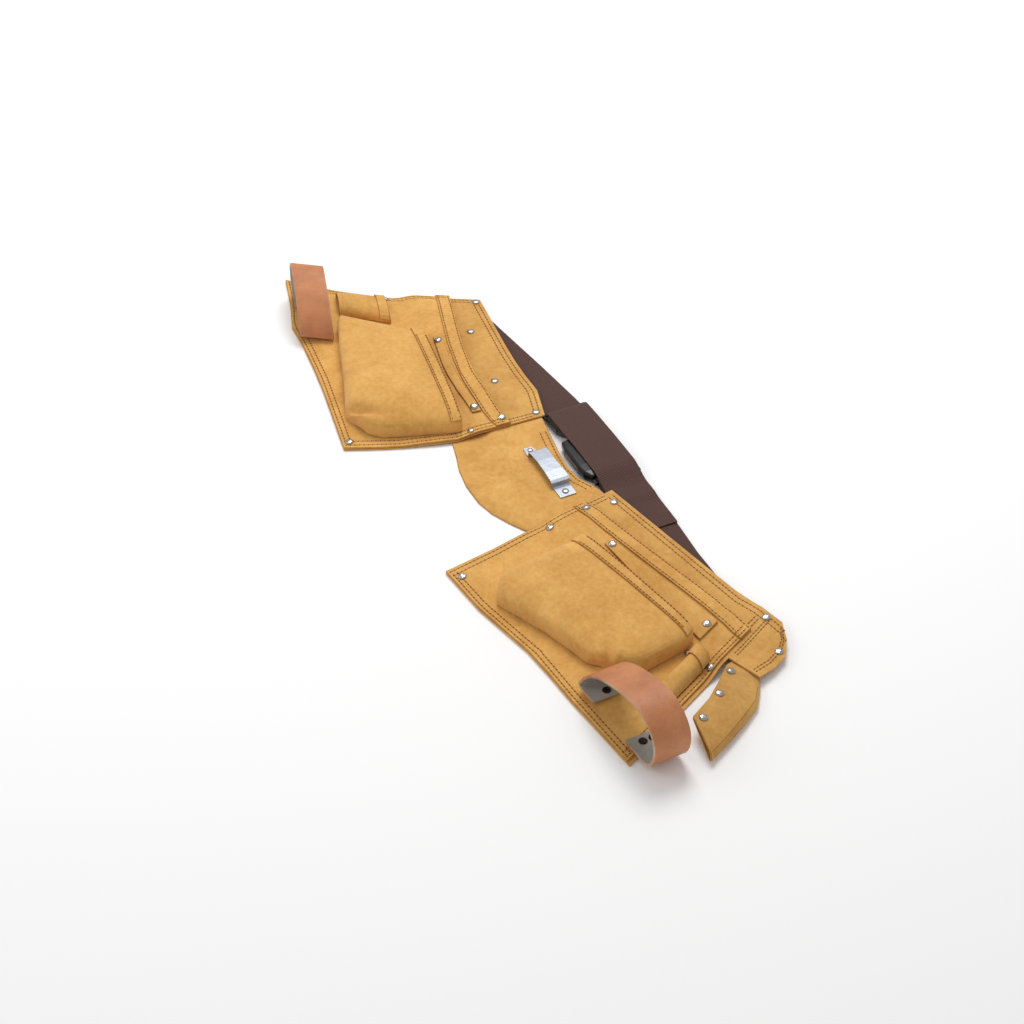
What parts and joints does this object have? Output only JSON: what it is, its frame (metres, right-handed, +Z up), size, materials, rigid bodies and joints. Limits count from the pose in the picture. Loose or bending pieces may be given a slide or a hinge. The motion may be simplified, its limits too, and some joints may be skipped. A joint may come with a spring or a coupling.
{
  "type": "nail apron",
  "caption": "Leather nail apron lying face up: two pocketed pouches joined by a bib, hammer loops, tool loops, tape clip, square sleeve and a webbing belt with a side-release buckle.",
  "frame": {"origin": "centre of the footprint's box, on the surface it lies on", "axes": "+X from the first pouch to the second along the waist, +Y towards the belt's free side, +Z up off the surface"},
  "size_m": [0.9186, 0.2924, 0.0696],
  "materials": {
    "leather": "matt split leather",
    "saddle_leather": "smooth saddle leather",
    "webbing": "woven webbing",
    "plastic": "moulded",
    "nickel": "nickel plate",
    "dark_rivet": "dark bronzed",
    "steel": "bright zinc plate"
  },
  "bodies": {
    "root": {"back_panel_a": "leather", "back_panel_b": "leather", "belt": "webbing", "belt_tunnel_a": "leather", "belt_tunnel_b": "leather", "belt_tunnel_bib": "leather", "bib": "leather", "buckle_female": "plastic", "buckle_male": "plastic", "clip_eyelet": "nickel", "clip_rivet": "nickel", "hammer_loop_a": "saddle_leather", "hammer_loop_b": "saddle_leather", "main_pocket_a": "leather", "main_pocket_b": "leather", "main_pocket_hem_a": "leather", "main_pocket_hem_b": "leather", "nail_pocket_a": "leather", "nail_pocket_b": "leather", "nail_pocket_hem_a": "leather", "nail_pocket_hem_b": "leather", "rivet_a_corner": "nickel", "rivet_a_foot": "nickel", "rivet_a_hammer_foot": "dark_rivet", "rivet_a_hammer_lap_far": "dark_rivet", "rivet_a_hammer_lap_near": "dark_rivet", "rivet_a_hem_end": "nickel", "rivet_a_pocket_side": "nickel", "rivet_a_strip_inner": "nickel", "rivet_a_strip_outer": "nickel", "rivet_a_tool_loop": "nickel", "rivet_a_waist_inner": "nickel", "rivet_a_waist_middle": "nickel", "rivet_a_waist_outer": "nickel", "rivet_b_band_lower": "nickel", "rivet_b_band_upper": "nickel", "rivet_b_corner": "nickel", "rivet_b_foot": "nickel", "rivet_b_hammer_foot": "dark_rivet", "rivet_b_hammer_lap_far": "dark_rivet", "rivet_b_hammer_lap_near": "dark_rivet", "rivet_b_hem_end": "nickel", "rivet_b_pocket_side": "nickel", "rivet_b_strip_inner": "nickel", "rivet_b_strip_outer": "nickel", "rivet_b_tool_inner": "nickel", "rivet_b_tool_outer": "nickel", "rivet_holder_lower": "nickel", "rivet_holder_middle": "nickel", "rivet_holder_upper": "nickel", "slot_strip_a": "leather", "slot_strip_b": "leather", "square_holder": "leather", "tape_clip": "steel", "tool_loop_a": "leather", "tool_loop_b": "leather", "tool_loop_hem_a": "leather", "tool_loop_hem_b": "leather"}
  },
  "joints": []
}
